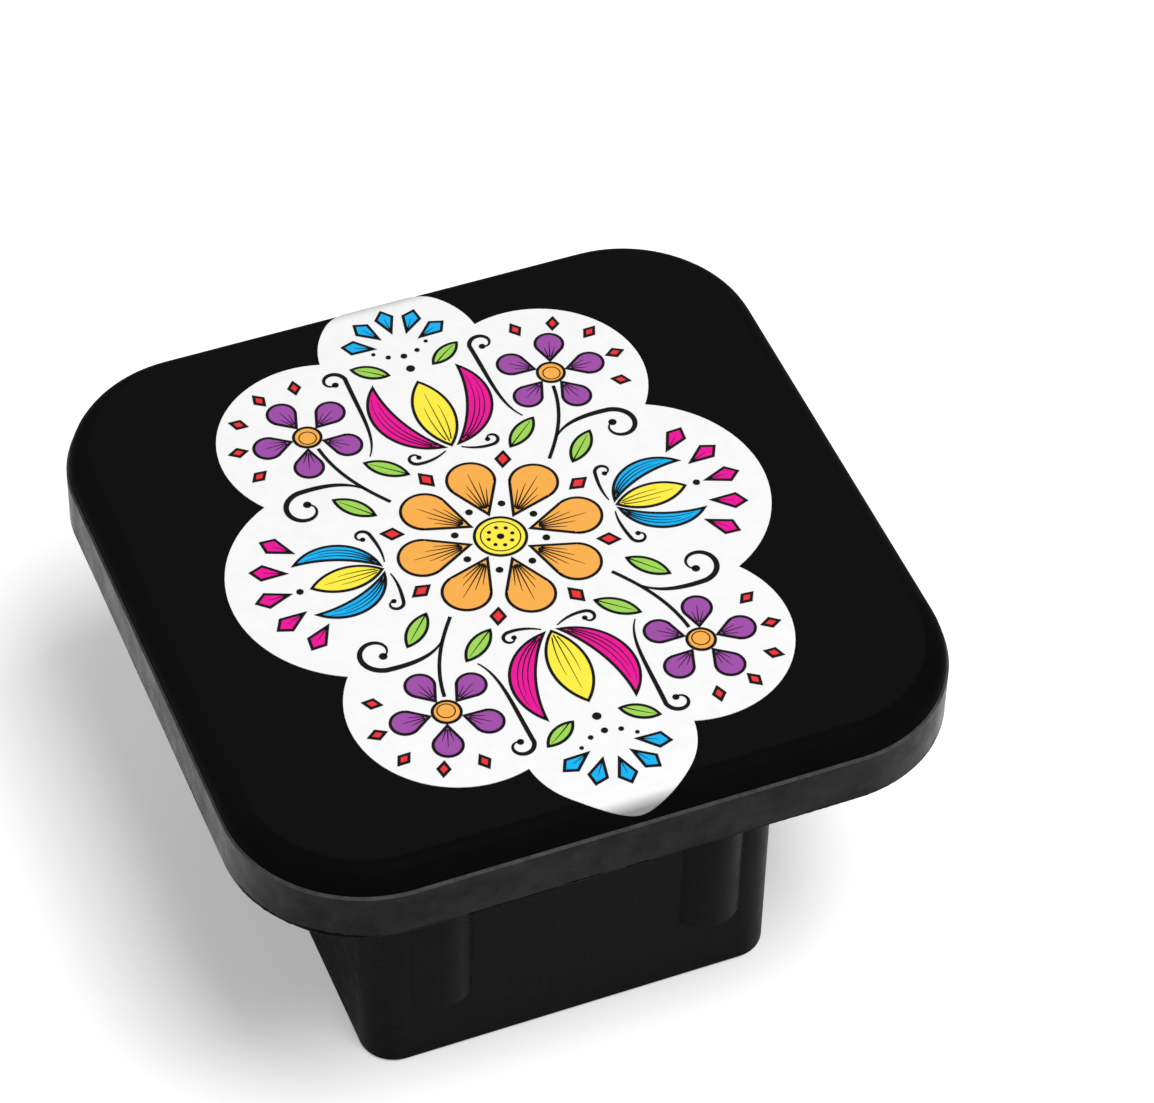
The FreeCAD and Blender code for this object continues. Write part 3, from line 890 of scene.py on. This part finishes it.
def make_flash():
    """A thin ragged fin where the mould's halves met, trimmed all round but for the front's left end."""
    draw = random.Random(7)
    stations = rounded_square_line(FLANGE_HALF, FLANGE_CORNER, FLASH_STEP)
    verts, faces = [], []
    count = len(stations)
    for i, (point, way) in enumerate(stations):
        patch = noise.noise(Vector((point.x, point.y, 0.0)) * PATCHES_PER_METRE)
        ragged = max(0.0, patch + 0.25) * (0.4 + 0.9 * draw.random())
        left = (CLEAN_RIGHT_FROM - point.x) / CLEAN_FADE
        front = (CLEAN_BACK_FROM - point.y) / CLEAN_FADE
        ragged *= max(CLEAN_SHARE, min(1.0, left, front))
        outer = point + way * FLASH_REACH * min(1.0, ragged)
        inner = point - way * FLASH_ROOT
        low = PLUG_LENGTH - FLASH_DROOP * draw.random()
        high = PLUG_LENGTH + FLASH_DEPTH * (0.5 + 0.5 * draw.random())
        for at, height in ((inner, high), (outer, high), (outer, low), (inner, low)):
            verts.append((at.x, at.y, height))
    for i in range(count):
        here = 4 * i
        there = 4 * ((i + 1) % count)
        for k in range(4):
            following = (k + 1) % 4
            faces.append((here + k, here + following, there + following, there + k))
    return new_piece("mould_flash", verts, faces, FINISHES["black_rubber"], "black_rubber")


make_flash()


# Floor, light and camera

def only_seen(tree):
    """One for what the camera sees, straight or through glass, otherwise zero."""
    path = node_of(tree, "ShaderNodeLightPath")
    either = node_of(tree, "ShaderNodeMath", operation="MAXIMUM")
    tree.links.new(path.outputs["Is Camera Ray"], either.inputs[0])
    tree.links.new(path.outputs["Is Transmission Ray"], either.inputs[1])
    return either.outputs[0]


FLOOR_HALF = 3.0
FLOOR_LIFT = 0.33
FLOOR_WHITE = (0.93, 0.93, 0.935, 1)
WHITE = (1, 1, 1, 1)


def make_floor():
    """A sheet of white paper that keeps the cover's shadow and reads near white elsewhere."""
    mesh = bpy.data.meshes.new("floor")
    corners = [(FLOOR_HALF * x, FLOOR_HALF * y, 0) for x, y in ((-1, -1), (1, -1), (1, 1), (-1, 1))]
    mesh.from_pydata(corners, [], [(0, 1, 2, 3)])
    floor = bpy.data.objects.new("floor", mesh)
    bpy.context.scene.collection.objects.link(floor)
    paper = bpy.data.materials.new("white paper floor")
    paper.use_nodes = True
    tree = paper.node_tree
    shader = tree.nodes["Principled BSDF"]
    shader.inputs["Base Color"].default_value = FLOOR_WHITE
    shader.inputs["Roughness"].default_value = 0.9
    shader.inputs["Specular IOR Level"].default_value = 0.1
    shader.inputs["Emission Color"].default_value = WHITE
    seen = only_seen(tree)
    tree.links.new(times(tree, seen, FLOOR_LIFT), shader.inputs["Emission Strength"])
    mesh.materials.append(paper)


WORLD_LIGHT = 0.25


def make_world():
    """Soft light from all round, and a white ground behind the cover."""
    world = bpy.data.worlds.new("studio")
    world.use_nodes = True
    tree = world.node_tree
    tree.nodes.clear()
    seen = only_seen(tree)
    dim = node_of(tree, "ShaderNodeBackground", Color=WHITE, Strength=WORLD_LIGHT)
    bright = node_of(tree, "ShaderNodeBackground", Color=WHITE, Strength=1.0)
    mix = node_of(tree, "ShaderNodeMixShader")
    out = node_of(tree, "ShaderNodeOutputWorld")
    tree.links.new(seen, mix.inputs[0])
    tree.links.new(dim.outputs[0], mix.inputs[1])
    tree.links.new(bright.outputs[0], mix.inputs[2])
    tree.links.new(mix.outputs[0], out.inputs[0])
    bpy.context.scene.world = world


COVER_MIDDLE = Vector((0, 0, 0.03))


def softbox(name, way, away, width, depth, watts):
    """A large area lamp at a distance on a way from the cover, turned to it."""
    lamp = bpy.data.lights.new(name, "AREA")
    lamp.shape = "RECTANGLE"
    lamp.size = width
    lamp.size_y = depth
    lamp.energy = watts
    holder = bpy.data.objects.new(name, lamp)
    bpy.context.scene.collection.objects.link(holder)
    way = Vector(way).normalized()
    holder.location = way * away + COVER_MIDDLE
    holder.rotation_euler = way.to_track_quat("Z", "Y").to_euler()


make_floor()
make_world()
softbox("key softbox", (0.11, -0.4, 1.0), 1.5, 0.66, 0.66, 20.0)

AZIMUTH = math.radians(-21.80)
ELEVATION = math.radians(46.70)
ROLL = math.radians(0.707)
DISTANCE = 0.5128
FOCAL_PIXELS = 4787.0
FRAME_PIXELS = 1154
OFF_CENTRE = (-76.68, 5.595)
SENSOR = 36.0
NEAREST = 0.01
FARTHEST = 20.0


def make_camera():
    """The camera of the photograph: the rim's middle lies a little left of and below the centre."""
    target = Vector((0, 0, RIM_HEIGHT))
    back = Vector(
        (
            math.sin(AZIMUTH) * math.cos(ELEVATION),
            -math.cos(AZIMUTH) * math.cos(ELEVATION),
            math.sin(ELEVATION),
        )
    )
    ahead = -back
    level = ahead.cross(Vector((0, 0, 1))).normalized()
    above = level.cross(ahead)
    right = level * math.cos(ROLL) + above * math.sin(ROLL)
    up = above * math.cos(ROLL) - level * math.sin(ROLL)
    ahead = ahead - right * (OFF_CENTRE[0] / FOCAL_PIXELS) + up * (OFF_CENTRE[1] / FOCAL_PIXELS)
    ahead.normalize()
    right = (right - ahead * right.dot(ahead)).normalized()
    up = right.cross(ahead)
    lens = bpy.data.cameras.new("camera")
    lens.sensor_fit = "HORIZONTAL"
    lens.sensor_width = SENSOR
    lens.lens = FOCAL_PIXELS * SENSOR / FRAME_PIXELS
    lens.clip_start = NEAREST
    lens.clip_end = FARTHEST
    camera = bpy.data.objects.new("camera", lens)
    bpy.context.scene.collection.objects.link(camera)
    turn = Matrix((right, up, -ahead)).transposed().to_4x4()
    camera.matrix_world = Matrix.Translation(target + back * DISTANCE) @ turn
    bpy.context.scene.camera = camera


make_camera()
bpy.context.scene.view_settings.view_transform = "Standard"
